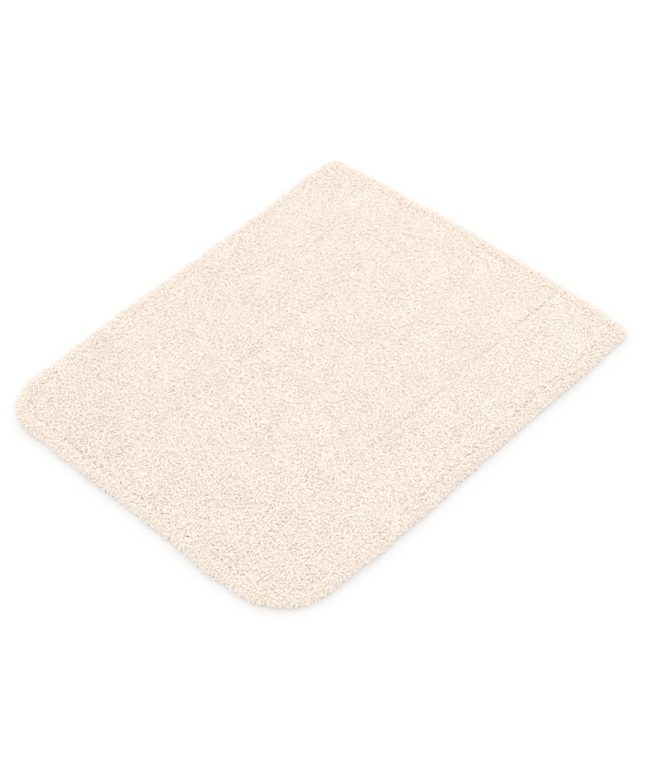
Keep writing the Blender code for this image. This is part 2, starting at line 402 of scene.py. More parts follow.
@dataclass(frozen=True)
class StrandMaker:
    """Draws a strand out of a disc, step by step, and closes its ends.

    Attributes:
        twist: how far it turns about its own line, in radians for each metre.
        tube: the bake square's share for the sides: from the left, and its width.
        rise: the lowest and the highest place of the sides in that square.
        disc: the bake square's share for the ends: the middle's place, and the radius.
        discs: how high in that square the first end and the last end lie.
    """

    sides: int
    radius: float
    twist: float = 0.0
    tube: tuple[float, float] = (0.03, 0.74)
    rise: tuple[float, float] = (0.03, 0.97)
    disc: tuple[float, float] = (0.885, 0.085)
    discs: tuple[float, float] = (0.25, 0.75)

    def make(self, steps: list[Step], start: tuple[float, float, float] = (0, 0, 1)) -> Strand:
        """Return a strand that starts at the origin.

        Args:
            steps: the steps that it is drawn out in.
            start: its first heading.

        Returns:
            The strand's arrays.
        """
        bm = bmesh.new()
        side = bm.verts.layers.int.new("side")
        ring = bm.verts.layers.int.new("ring")
        bmesh.ops.create_circle(
            bm, cap_ends=True, cap_tris=False, segments=self.sides, radius=self.radius
        )
        for index, vert in enumerate(bm.verts):
            vert[side] = index
        centre = Vector((0, 0, 0))
        heading = Vector(start).normalized()
        upright = Vector((0, 0, 1)).rotation_difference(heading).to_matrix()
        bmesh.ops.rotate(bm, verts=bm.verts[:], cent=centre, matrix=upright)
        cap = next(iter(bm.faces))
        gone = [0.0]
        for number, step in enumerate(steps, start=1):
            made = bmesh.ops.extrude_face_region(bm, geom=[cap])["geom"]
            if number > 1:
                bmesh.ops.delete(bm, geom=[cap], context="FACES_ONLY")
            cap = next(part for part in made if isinstance(part, bmesh.types.BMFace))
            verts = list(cap.verts)
            ahead = Vector(step.heading).normalized()
            spin = Matrix.Rotation(self.twist * step.length, 3, ahead)
            turn = spin @ heading.rotation_difference(ahead).to_matrix()
            move = (heading + ahead).normalized() * step.length
            size = (step.girth,) * 3
            bmesh.ops.rotate(bm, verts=verts, cent=centre, matrix=turn)
            bmesh.ops.scale(bm, verts=verts, vec=size, space=Matrix.Translation(-centre))
            bmesh.ops.translate(bm, verts=verts, vec=move)
            centre = centre + move
            heading = ahead
            gone.append(gone[-1] + step.length)
            for vert in verts:
                vert[ring] = number
        bmesh.ops.recalc_face_normals(bm, faces=bm.faces[:])
        strand = self.arrays(bm, side, ring, gone)
        bm.free()
        return strand

    def arrays(self, bm: bmesh.types.BMesh, side, ring, gone: list[float]) -> Strand:
        """Return a finished strand's arrays with its two maps.

        Args:
            bm: the strand's mesh.
            side: the layer that says which side a point is on.
            ring: the layer that says which step a point is at.
            gone: the length from the start to each step.

        Returns:
            The strand's arrays.
        """
        corners, starts, yarn_uv, bake_uv = [], [], [], []
        for face in bm.faces:
            starts.append(len(corners))
            sides = {vert[side] for vert in face.verts}
            is_cap = len({vert[ring] for vert in face.verts}) == 1
            wraps = not is_cap and sides == {0, self.sides - 1}
            for vert in face.verts:
                around = (self.sides if wraps and vert[side] == 0 else vert[side]) / self.sides
                share = gone[vert[ring]] / gone[-1]
                corners.append(vert.index)
                yarn_uv.append((around, gone[vert[ring]] / CENTIMETRE))
                if is_cap:
                    angle = 2 * math.pi * around
                    across = self.disc[0] + self.disc[1] * math.cos(angle)
                    middle = self.discs[vert[ring] > 0]
                    bake_uv.append((across, middle + self.disc[1] * math.sin(angle)))
                else:
                    low, high = self.rise
                    across = self.tube[0] + self.tube[1] * around
                    bake_uv.append((across, low + (high - low) * share))
        places = [vert.co for vert in bm.verts]
        return Strand(*map(np.array, (places, corners, starts, yarn_uv, bake_uv)))


def linked(name: str, data: bpy.types.ID) -> bpy.types.Object:
    """Return a new object in the scene that shows the data."""
    made = bpy.data.objects.new(name, data)
    bpy.context.scene.collection.objects.link(made)
    return made


def repeated(
    name: str, strands: list[Strand], which: np.ndarray, co: np.ndarray, tone: np.ndarray
) -> bpy.types.Object:
    """Make one object of many copies of strands.

    Args:
        name: the object's name.
        strands: the kinds of strand, which have the same faces.
        which: the kind of each copy.
        co: the points of each copy, in place.
        tone: how light each copy is.

    Returns:
        The object, with the yarn map, the bake map and the tone.
    """
    copies, points = co.shape[:2]
    first = strands[0]
    turn = np.arange(copies)[:, None]
    mesh = bpy.data.meshes.new(name)
    mesh.vertices.add(copies * points)
    mesh.vertices.foreach_set("co", co.astype(np.float32).ravel())
    corners = np.stack([strand.corners for strand in strands])[which]
    starts = np.stack([strand.starts for strand in strands])[which]
    mesh.loops.add(corners.size)
    mesh.loops.foreach_set("vertex_index", (corners + points * turn).ravel().astype(np.int32))
    mesh.polygons.add(starts.size)
    first_corners = (starts + first.corners.size * turn).ravel()
    mesh.polygons.foreach_set("loop_start", first_corners.astype(np.int32))
    mesh.update(calc_edges=True)
    columns = math.ceil(math.sqrt(copies))
    cell = np.stack([turn[:, 0] % columns, turn[:, 0] // columns], 1)[:, None, :]
    yarn_uv = np.stack([strand.yarn_uv for strand in strands])[which]
    bake_uv = (np.stack([strand.bake_uv for strand in strands])[which] + cell) / columns
    for map_name, values in ((YARN_MAP, yarn_uv), (BAKE_MAP, bake_uv)):
        layer = mesh.uv_layers.new(name=map_name)
        layer.uv.foreach_set("vector", values.astype(np.float32).ravel())
    mesh.uv_layers[YARN_MAP].active_render = True
    shade = mesh.attributes.new(TONE, "FLOAT", "POINT")
    shade.data.foreach_set("value", np.repeat(tone, points).astype(np.float32))
    mesh.shade_smooth()
    return linked(name, mesh)


def object_of(name: str, bm: bmesh.types.BMesh, smooth: bool = True) -> bpy.types.Object:
    """Turn a bmesh into an object at the origin.

    Args:
        name: the object's name.
        bm: the mesh, which is freed.
        smooth: whether its faces are shaded smooth.

    Returns:
        The object.
    """
    mesh = bpy.data.meshes.new(name)
    bm.to_mesh(mesh)
    bm.free()
    if smooth:
        mesh.shade_smooth()
    return linked(name, mesh)


def flat_grid(
    middle: tuple[float, float], half: tuple[float, float], cells: tuple[int, int]
) -> bmesh.types.BMesh:
    """Return a flat rectangle in cells.

    Args:
        middle: X and Y of its middle.
        half: half its size in X and in Y.
        cells: how many cells it has in X and in Y.

    Returns:
        The mesh, at a height of zero.
    """
    bm = bmesh.new()
    shape = Matrix.Translation((*middle, 0)) @ Matrix.Diagonal((*half, 1, 1))
    bmesh.ops.create_grid(bm, x_segments=cells[0], y_segments=cells[1], size=1, matrix=shape)
    return bm


def ring_band(name: str, rows: np.ndarray) -> bpy.types.Object:
    """Bend a flat grid into a closed ring with a closed section.

    Args:
        name: the object's name.
        rows: the point at each station round the ring and each place round the section.

    Returns:
        The object, with the cloth map.
    """
    stations, places = rows.shape[:2]
    round_mat, round_section = (
        gone_along(np.vstack([line, line[:1]])) for line in (rows.mean(axis=1), rows[0])
    )
    bm = bmesh.new()
    cloth = bm.loops.layers.uv.new(CLOTH_MAP)
    bmesh.ops.create_grid(bm, x_segments=stations, y_segments=places, size=1, calc_uvs=True)
    for vert in bm.verts:
        station = round((vert.co.x + 1) / 2 * stations) % stations
        place = round((vert.co.y + 1) / 2 * places) % places
        vert.co = rows[station, place]
    for face in bm.faces:
        for corner in face.loops:
            u, v = corner[cloth].uv
            corner[cloth].uv = (round_mat[round(u * stations)], round_section[round(v * places)])
    bmesh.ops.remove_doubles(bm, verts=bm.verts[:], dist=WELD)
    bmesh.ops.recalc_face_normals(bm, faces=bm.faces[:])
    return object_of(name, bm)


def move(bm: bmesh.types.BMesh, wave: EdgeWave, height: float) -> None:
    """Take a flat mesh to the uneven outline and raise it.

    Args:
        bm: the mesh.
        wave: the unevenness.
        height: how far it is raised.
    """
    places = wave.moved(np.array([vert.co for vert in bm.verts]))
    for vert, place in zip(bm.verts, places + (0, 0, height)):
        vert.co = place


def settle(bm: bmesh.types.BMesh, bottom: float) -> None:
    """Move a mesh in Z so that its lowest point is at the bottom."""
    lowest = min(vert.co.z for vert in bm.verts)
    bmesh.ops.translate(bm, verts=bm.verts[:], vec=(0, 0, bottom - lowest))


def thicken(bm: bmesh.types.BMesh, flat_z: float, wave: EdgeWave) -> None:
    """Give an uneven sheet a flat other side, and take it to the uneven outline.

    Args:
        bm: the sheet.
        flat_z: the height of its flat side.
        wave: the outline's unevenness.
    """
    made = bmesh.ops.extrude_face_region(bm, geom=bm.faces[:])["geom"]
    for part in made:
        if isinstance(part, bmesh.types.BMVert):
            part.co.z = flat_z
    move(bm, wave, 0.0)
    bmesh.ops.recalc_face_normals(bm, faces=bm.faces[:])


def swept(outline: Outline, section: tuple[tuple[float, float], ...]) -> np.ndarray:
    """Return the points of a section taken round the mat.

    Args:
        outline: the mat's outline.
        section: inset and height of each place round the section.

    Returns:
        X, Y and Z for each station and each place.
    """
    rows = []
    for inset, height in section:
        ring = outline.stations(inset)
        rows.append(np.column_stack([ring, np.full(len(ring), height)]))
    return np.stack(rows, axis=1)


class Web:
    """One material's nodes, with short calls to add and join them."""

    def __init__(self, name: str) -> None:
        """Start a material that holds one principled shader."""
        self.material = bpy.data.materials.new(name)
        self.material.use_nodes = True
        self.tree = self.material.node_tree
        self.tree.nodes.clear()
        self.shader = self.add("BsdfPrincipled")
        self.put(self.add("OutputMaterial").inputs["Surface"], self.shader.outputs["BSDF"])

    def add(self, kind: str, **values) -> bpy.types.ShaderNode:
        """Return a new node, with its sockets set as in finish."""
        node = self.tree.nodes.new(f"ShaderNode{kind}")
        for name, value in values.items():
            self.put(node.inputs[name.replace("_", " ")], value)
        return node

    def put(self, socket, value) -> None:
        """Join a socket to another, or set it to a plain value."""
        if isinstance(value, bpy.types.NodeSocket):
            self.tree.links.new(value, socket)
        else:
            socket.default_value = value

    def finish(self, **values) -> None:
        """Set the shader's own sockets, with spaces in their names written as _."""
        for name, value in values.items():
            self.put(self.shader.inputs[name.replace("_", " ")], value)

    def math(self, operation: str, first, second=0.0, third=0.0):
        """Return the result of one arithmetic step."""
        node = self.add("Math")
        node.operation = operation
        for socket, value in zip(node.inputs, (first, second, third)):
            self.put(socket, value)
        return node.outputs[0]

    def blend(self, share, first, second):
        """Return a colour between two, by a share of the second."""
        node = self.add("Mix")
        node.data_type = "RGBA"
        for name, value in (("Factor", share), ("A", first), ("B", second)):
            self.put(node.inputs[name], value)
        return node.outputs["Result"]

    def lightened(self, colour, by):
        """Return a colour times a plain number."""
        plain = colour[:3] if isinstance(colour, tuple) else colour
        node = self.add("VectorMath", Vector=plain)
        node.operation = "SCALE"
        self.put(node.inputs["Scale"], by)
        return node.outputs["Vector"]

    def clouded(self, colour, cloud, least: float):
        """Return a colour that a cloudy value darkens, at most to the least share."""
        return self.lightened(colour, self.ramp(cloud, 0.2, 0.8, least, 1.0))

    def ramp(self, value, low: float, high: float, low_out: float = 0.0, high_out: float = 1.0):
        """Return a value carried smoothly from one range to another."""
        node = self.add("MapRange", Value=value, From_Min=low, From_Max=high)
        node.interpolation_type = "SMOOTHSTEP"
        self.put(node.inputs["To Min"], low_out)
        self.put(node.inputs["To Max"], high_out)
        return node.outputs["Result"]

    def mixed(self, value, by: float, to=0.5):
        """Return a value times a number, on top of another."""
        return self.math("MULTIPLY_ADD", value, by, to)

    def sine(self, value, length: float = 1.0):
        """Return waves of a length along a value, from -1 to 1."""
        return self.math("SINE", self.math("MULTIPLY", value, 2 * math.pi / length))

    def here(self):
        """Return the place on the object."""
        return self.add("TexCoord").outputs["Object"]

    def noise(self, scale: float, detail: float = 2.0):
        """Return a cloudy value over the object, about 0 to 1."""
        node = self.add("TexNoise", Vector=self.here(), Scale=scale, Detail=detail)
        return node.outputs["Fac"]

    def cells(self, size: float):
        """Return how far each place is from the middle of its cell, in cells."""
        return self.add("TexVoronoi", Vector=self.here(), Scale=1 / size).outputs["Distance"]

    def tone(self):
        """Return each strand's own lightness."""
        node = self.add("Attribute")
        node.attribute_name = TONE
        return node.outputs["Fac"]

    def across(self, map_name: str):
        """Return the two coordinates of a UV map."""
        node = self.add("UVMap")
        node.uv_map = map_name
        return self.flat(node.outputs["UV"])

    def flat(self, place):
        """Return the X and the Y of a place."""
        parts = self.add("SeparateXYZ", Vector=place)
        return parts.outputs["X"], parts.outputs["Y"]

    def relief(self, height, depth: float) -> None:
        """Raise the surface by a height from 0 to 1, to a depth in metres."""
        node = self.add("Bump", Height=height, Distance=depth)
        self.put(self.shader.inputs["Normal"], node.outputs["Normal"])


Colour = tuple[float, float, float, float]


@dataclass(frozen=True)
class YarnFinish:
    """Spun yarn of a few plies, painted a little darker at its root and in the grooves of its
    twist, as shade.

    Attributes:
        twists: turns of the twist in each centimetre.
        twist_depth: how deep the grooves between the plies are.
        fuzz_scale: how fine the fuzz is.
        root_shade_end: the height in centimetres where the root's painted shade ends.
        ground: the lightness of the darkest place.
        tone_share: how far each strand's own tone moves its lightness.
        ply_groove_shade: how much lighter the back of a ply is than its grooves, which are
            painted shade.
        fuzz_share: how much lighter the fuzz is.
    """

    name: str
    tip: Colour
    root: Colour
    plies: int = 2
    twists: float = 2.2
    twist_depth: float = 0.00026
    fuzz_scale: float = 1400.0
    root_shade_end: float = 0.9
    sheen: float = 0.5
    ground: float = 0.938
    tone_share: float = 0.022
    ply_groove_shade: float = 0.07
    fuzz_share: float = 0.03

    def material(self) -> bpy.types.Material:
        """Return the yarn's material."""
        web = Web(self.name)
        around, along = web.across(YARN_MAP)
        turn = web.mixed(along, self.twists, web.math("MULTIPLY", around, self.plies))
        ply = web.mixed(web.sine(turn), 0.5)
        fuzz = web.noise(self.fuzz_scale, 3.0)
        # painted shade: the root colour darkens the yarn near its root, where the tufts shade
        # each other
        colour = web.blend(web.ramp(along, 0.15, self.root_shade_end), self.root, self.tip)
        light = web.mixed(web.tone(), self.tone_share, self.ground)
        # painted shade: the grooves between the plies are darker than the backs of the plies
        light = web.mixed(ply, self.ply_groove_shade, light)
        light = web.mixed(fuzz, self.fuzz_share, light)
        web.relief(web.mixed(fuzz, 0.35, ply), self.twist_depth)
        web.finish(
            Base_Color=web.lightened(colour, light),
            Roughness=0.95,
            Sheen_Weight=self.sheen,
            Sheen_Roughness=0.6,
            Specular_IOR_Level=0.15,
        )
        return web.material


@dataclass(frozen=True)
class PackedPileFinish:
    """Tufts packed side by side, seen between their free ends, with painted shade: a darker gap
    colour at the cell edges between the tufts.
    """

    name: str
    yarn: Colour
    gap: Colour
    tuft: float = 0.0024
    depth: float = 0.0010
    fuzz_scale: float = 1400.0

    def material(self) -> bpy.types.Material:
        """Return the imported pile's material."""
        web = Web(self.name)
        height = web.ramp(web.cells(self.tuft), 0.0, 0.7, 1.0, 0.0)
        web.relief(web.mixed(web.noise(self.fuzz_scale, 3.0), 0.3, height), self.depth)
        web.finish(
            # painted shade: the darker gap colour at each cell's edge, between the tufts
            Base_Color=web.blend(height, self.gap, self.yarn),
            Roughness=0.95,
            Sheen_Weight=0.2,
            Specular_IOR_Level=0.1,
        )
        return web.material


@dataclass(frozen=True)
class PlainWeaveFinish:
    """Plain woven cotton, with its threads square to the object, and painted shade: a darker gap
    colour between the threads.
    """

    name: str
    thread: Colour
    gap: Colour
    pitch: float = 0.0011
    depth: float = 0.0003
    slubs: float = 260.0

    def material(self) -> bpy.types.Material:
        """Return the cloth's material."""
        web = Web(self.name)
        warp, weft = (web.sine(way, 2 * self.pitch) for way in web.flat(web.here()))
        over = web.math("ABSOLUTE", web.math("MULTIPLY", warp, weft))
        slub = web.noise(self.slubs, 3.0)
        # painted shade: the gap colour darkens the places between the threads
        colour = web.blend(web.ramp(over, 0.05, 0.55), self.gap, self.thread)
        web.relief(web.mixed(slub, 0.3, over), self.depth)
        web.finish(
            Base_Color=web.clouded(colour, slub, 0.93),
            Roughness=0.9,
            Sheen_Weight=0.15,
            Specular_IOR_Level=0.2,
        )
        return web.material


@dataclass(frozen=True)
class TwillFinish:
    """Woven tape: fine slanting ribs along the strip."""

    name: str
    thread: Colour
    gap: Colour
    ribs: float = 0.0016
    slant: float = 1.0
    threads: float = 0.0006
    depth: float = 0.00022
    slubs: float = 320.0

    def material(self) -> bpy.types.Material:
        """Return the tape's material."""
        web = Web(self.name)
        along, across = web.across(CLOTH_MAP)
        rib = web.mixed(web.sine(web.mixed(across, self.slant, along), self.ribs), 0.5)
        height = web.mixed(web.sine(across, self.threads), 0.15, rib)
        slub = web.noise(self.slubs, 3.0)
        # painted shade: the gap colour darkens the grooves between the ribs
        colour = web.blend(web.ramp(rib, 0.05, 0.6), self.gap, self.thread)
        web.relief(web.mixed(slub, 0.3, height), self.depth)
        web.finish(
            Base_Color=web.clouded(colour, slub, 0.94),
            Roughness=0.85,
            Sheen_Weight=0.2,
            Specular_IOR_Level=0.25,
        )
        return web.material


@dataclass(frozen=True)
class SatinFinish:
    """Smooth satin: long floats across the ribbon that catch a soft shine."""

    name: str
    thread: Colour
    pitch: float = 0.00045
    float_over: int = 5
    depth: float = 0.00006
    clouds: float = 500.0

    def material(self) -> bpy.types.Material:
        """Return the ribbon's material."""
        web = Web(self.name)
        x, y = web.flat(web.here())
        steps, floats = web.sine(x, self.float_over * self.pitch), web.sine(y, self.pitch)
        web.relief(web.mixed(web.math("MULTIPLY", floats, steps), 0.5), self.depth)
        web.finish(
            Base_Color=web.clouded(self.thread, web.noise(self.clouds), 0.95),
            Roughness=0.42,
            Anisotropic=0.4,
            Sheen_Weight=0.1,
        )
        return web.material


@dataclass(frozen=True)
class LatexFinish:
    """Sprayed latex: a matt rubbery skin that shows the stitches under it."""

    name: str
    skin: Colour
    thin: Colour
    stitch: float = 0.0031
    depth: float = 0.00035
    clouds: float = 60.0
    grains: float = 900.0

    def material(self) -> bpy.types.Material:
        """Return the latex's material."""
        web = Web(self.name)
        stitch = web.sine(web.flat(web.here())[0], self.stitch)
        cloud = web.noise(self.clouds, 4.0)
        grain = web.noise(self.grains, 3.0)
        colour = web.blend(web.ramp(cloud, 0.35, 0.7), self.thin, self.skin)
        web.relief(web.mixed(stitch, 0.25, web.math("MULTIPLY", grain, 0.8)), self.depth)
        web.finish(
            Base_Color=web.clouded(colour, grain, 0.93),
            Roughness=web.ramp(cloud, 0.3, 0.7, 0.55, 0.7),
            Specular_IOR_Level=0.4,
        )
        return web.material


@dataclass(frozen=True)
class FloorFinish:
    """The plain pale studio floor."""

    name: str = "studio_floor"
    paint: Colour = (0.782, 0.788, 0.790, 1.0)
    clouds: float = 30.0

    def material(self) -> bpy.types.Material:
        """Return the floor's material."""
        web = Web(self.name)
        web.finish(
            Base_Color=web.clouded(self.paint, web.noise(self.clouds), 0.99),
            Roughness=1.0,
            Specular_IOR_Level=0.0,
        )
        return web.material


def dress(
    piece: bpy.types.Object, finish: bpy.types.Material, slot: str, *nodes: str
) -> bpy.types.Object:
    """Give a piece its material and tie it to the frame.

    Args:
        piece: the piece, in place.
        finish: its material.
        slot: not used.
        nodes: the CAD nodes that it stands for.

    Returns:
        The piece.
    """
    piece.data.materials.clear()
    piece.data.materials.append(finish)
    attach(piece, BODY)
    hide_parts(*nodes)
    LOG.info("%s: %d faces", piece.name, len(piece.data.polygons))
    return piece


@dataclass(frozen=True)
class Parting:
    """A line along X where the pile falls open to both sides."""

    y: float
    x_low: float
    x_high: float
    strength: float
    spread: float = 0.0040


@dataclass(frozen=True)
class PileLay:
    """Which way the pile lies at each place, and how far it leans.

    Attributes:
        seam_inset: where the hem's seam holds it.
        seam_spread: how far from the seam its pull dies away.
        seam_pull: the seam's pull anywhere, what patches add, and what the corner adds.
        open_corner: the corner where the pile opens most at the seam.
        open_spread: how far from that corner this dies away.
        broad: how the lay turns over the mat.
        height: how the pile's height changes.
        patches: how its looseness changes.
        fade: how far beyond its ends a parting dies away.
        turn: how far the lay turns, in radians.
        stray: how far a tuft strays from the lay, in radians.
        hold: how firmly a parting turns the tufts beside it.
        loose_from: the X where the pile gets looser, and how far on it is loosest.
        firm_from: the same for where it gets firmer, towards -X.
        firm_share: how much firmer it gets.
        patch_share: how far patches change its looseness.
        lean_degrees: a tuft's lean, what looseness takes off, its stray and the most.
        parting_lean: how much further it leans at a parting, in degrees.
    """

    outline: Outline
    partings: tuple[Parting, ...] = (
        Parting(-0.075, -0.300, 0.300, 0.12),
        Parting(0.143, -0.270, 0.040, 0.38),
        Parting(0.143, 0.040, 0.200, 0.15),
        Parting(-0.151, -0.220, -0.120, 0.12),
        Parting(0.101, -0.035, 0.045, 0.15),
    )
    seam_inset: float = 0.0162
    seam_spread: float = 0.0030
    broad: Swirl = Swirl(3, 0.045, 0.110)
    height: Swirl = Swirl(5, 0.012, 0.050)
    patches: Swirl = Swirl(6, 0.060, 0.160)
    fade: float = 0.020
    seam_pull: tuple[float, float, float] = (0.02, 0.03, 0.38)
    open_corner: tuple[float, float] = (0.285, -0.175)
    open_spread: float = 0.07
    turn: float = 2.2
    stray: float = 1.35
    hold: float = 2.5
    loose_from: tuple[float, float] = (0.06, 0.23)
    firm_from: tuple[float, float] = (0.05, 0.20)
    firm_share: float = 0.45
    patch_share: float = 0.22
    lean_degrees: tuple[float, float, float, float] = (37, 7, 11, 52)
    parting_lean: float = 12

    def opening(self, xy: np.ndarray) -> tuple[np.ndarray, np.ndarray]:
        """Return how far partings hold the pile open, and which way it falls.

        Args:
            xy: places on the mat.

        Returns:
            The pull, from 0 to 1, and the direction away from the nearest line.
        """
        pull = np.zeros(len(xy))
        away = np.zeros((len(xy), 2))
        for parting in self.partings:
            beyond = np.maximum(parting.x_low - xy[:, 0], xy[:, 0] - parting.x_high)
            share = parting.strength * bell(np.maximum(beyond, 0) / self.fade)
            off = xy[:, 1] - parting.y
            share = share * bell(off / parting.spread)
            away[:, 1] += share * np.where(off < 0, -1, 1)
            pull = np.maximum(pull, share)
        inset = self.outline.inset(xy)
        near = bell((inset - self.seam_inset) / self.seam_spread) * self.seam_strength(xy)
        across = np.where(inset < self.seam_inset, 1, -1)[:, None]
        away += near[:, None] * self.outline.outward(xy) * across
        return np.maximum(pull, near), away

    def facing(self, xy: np.ndarray, rng: np.random.Generator) -> tuple[np.ndarray, np.ndarray]:
        """Return the lay's direction and how strongly a parting holds it open.

        Args:
            xy: the tufts' roots.
            rng: the source of each tuft's own stray.

        Returns:
            The angle from X and the parting's pull, from 0 to 1.
        """
        angle = self.turn * self.broad.at(xy) + rng.normal(0, self.stray, len(xy))
        lay = np.stack([np.cos(angle), np.sin(angle)], 1)
        pull, away = self.opening(xy)
        lay += self.hold * away
        return np.arctan2(lay[:, 1], lay[:, 0]), pull

    def seam_strength(self, xy: np.ndarray) -> np.ndarray:
        """Return how far the hem's seam pulls the pile open, most at one corner."""
        near = bell(np.linalg.norm(xy - np.array(self.open_corner), axis=1) / self.open_spread)
        anywhere, by_patch, at_corner = self.seam_pull
        return np.clip(anywhere + by_patch * self.patches.at(xy) + at_corner * near, 0.0, 1.0)

    def openness(self, xy: np.ndarray) -> np.ndarray:
        """Return how loose the pile is: most at the rounded end, least at the square end."""
        loose, firm = (
            np.clip((way - start) / reach, 0, 1)
            for way, (start, reach) in ((xy[:, 0], self.loose_from), (-xy[:, 0], self.firm_from))
        )
        return loose * loose - self.firm_share * firm + self.patch_share * self.patches.at(xy)

    def lean(self, xy: np.ndarray, pull: np.ndarray, rng: np.random.Generator) -> np.ndarray:
        """Return how far each tuft leans over, in radians."""
        usual, loose, stray, most = self.lean_degrees
        degrees = usual - loose * self.openness(xy) + rng.normal(0, stray, len(xy))
        return np.radians(np.clip(degrees, 0, most) + self.parting_lean * pull)


@dataclass(frozen=True)
class TuftCut:
    """How the free ends of the tufts are cut: a few steps that bend over and curl.

    Attributes:
        sweep: the least and the most that an end bends over, in radians.
        curl: the most that it turns aside, in radians.
        swell: its girth at each step over the last.
        tip: its girth at the tip over the last.
        twist: its twist, in radians for each metre.
        tilt: how far tufts stray from upright, in degrees.
        lengths: the least and the greatest length, as a share.
        girths: the least and the greatest girth, as a share.
    """

    steps: tuple[float, ...] = (0.0029, 0.0026, 0.0022)
    sweep: tuple[float, float] = (0.45, 1.35)
    curl: float = 1.3
    radius: float = 0.00106
    tip: float = 0.60
    twist: float = 220.0
    kinds: int = 24
    sides: int = 5
    swell: float = 1.04
    tilt: float = 5.0
    lengths: tuple[float, float] = (0.88, 1.12)
    girths: tuple[float, float] = (0.9, 1.12)

    def strands(self, rng: np.random.Generator) -> list[Strand]:
        """Return the different strands."""
        made = []
        for _ in range(self.kinds):
            sweep = rng.uniform(*self.sweep)
            curl = rng.uniform(-self.curl, self.curl)
            tilt = rng.normal(0, math.radians(self.tilt))
            length = rng.uniform(*self.lengths)
            girth = rng.uniform(*self.girths)
            steps = []
            for index, ahead in enumerate(self.steps, start=1):
                share = index / len(self.steps)
                heading = self.heading(tilt + sweep * share, curl * (share - 0.5))
                swell = self.tip if index == len(self.steps) else self.swell
                steps.append(Step(heading, ahead * length, swell))
            made.append(StrandMaker(self.sides, self.radius * girth, self.twist).make(steps))
        return made

    def heading(self, lean: float, turn: float) -> tuple[float, float, float]:
        """Return the direction at a lean from upright and a turn from X."""
        flat = math.sin(lean)
        return flat * math.cos(turn), flat * math.sin(turn), math.cos(lean)


@dataclass(frozen=True)
class Tufts:
    """Where the tufts of one piece stand and how they lie.

    Attributes:
        roots: the place of each root.
        along: a direction in the surface that each stands on.
        normal: the direction out of that surface.
        facing: the direction that each leans in, as a turn from along.
        lean: how far each leans.
        size: the scale of each.
        tone: how light each is.
    """

    roots: np.ndarray
    along: np.ndarray
    normal: np.ndarray
    facing: np.ndarray
    lean: np.ndarray
    size: np.ndarray
    tone: np.ndarray

    def points(self, strands: list[Strand], which: np.ndarray) -> np.ndarray:
        """Return the points of every tuft in place.

        Args:
            strands: the kinds of tuft.
            which: the kind of each tuft.

        Returns:
            X, Y and Z for each tuft's points.
        """
        co = np.stack([strand.co for strand in strands])[which] * self.size[:, None, None]
        cos, sin = np.cos(self.lean)[:, None], np.sin(self.lean)[:, None]
        ahead = co[..., 0] * cos + co[..., 2] * sin
        out = co[..., 2] * cos - co[..., 0] * sin
        cross = np.cross(self.normal, self.along)
        cos, sin = np.cos(self.facing)[:, None], np.sin(self.facing)[:, None]
        forward = self.along * cos + cross * sin
        sideways = cross * cos - self.along * sin
        return (
            self.roots[:, None, :]
            + ahead[..., None] * forward[:, None, :]
            + co[..., 1, None] * sideways[:, None, :]
            + out[..., None] * self.normal[:, None, :]
        )


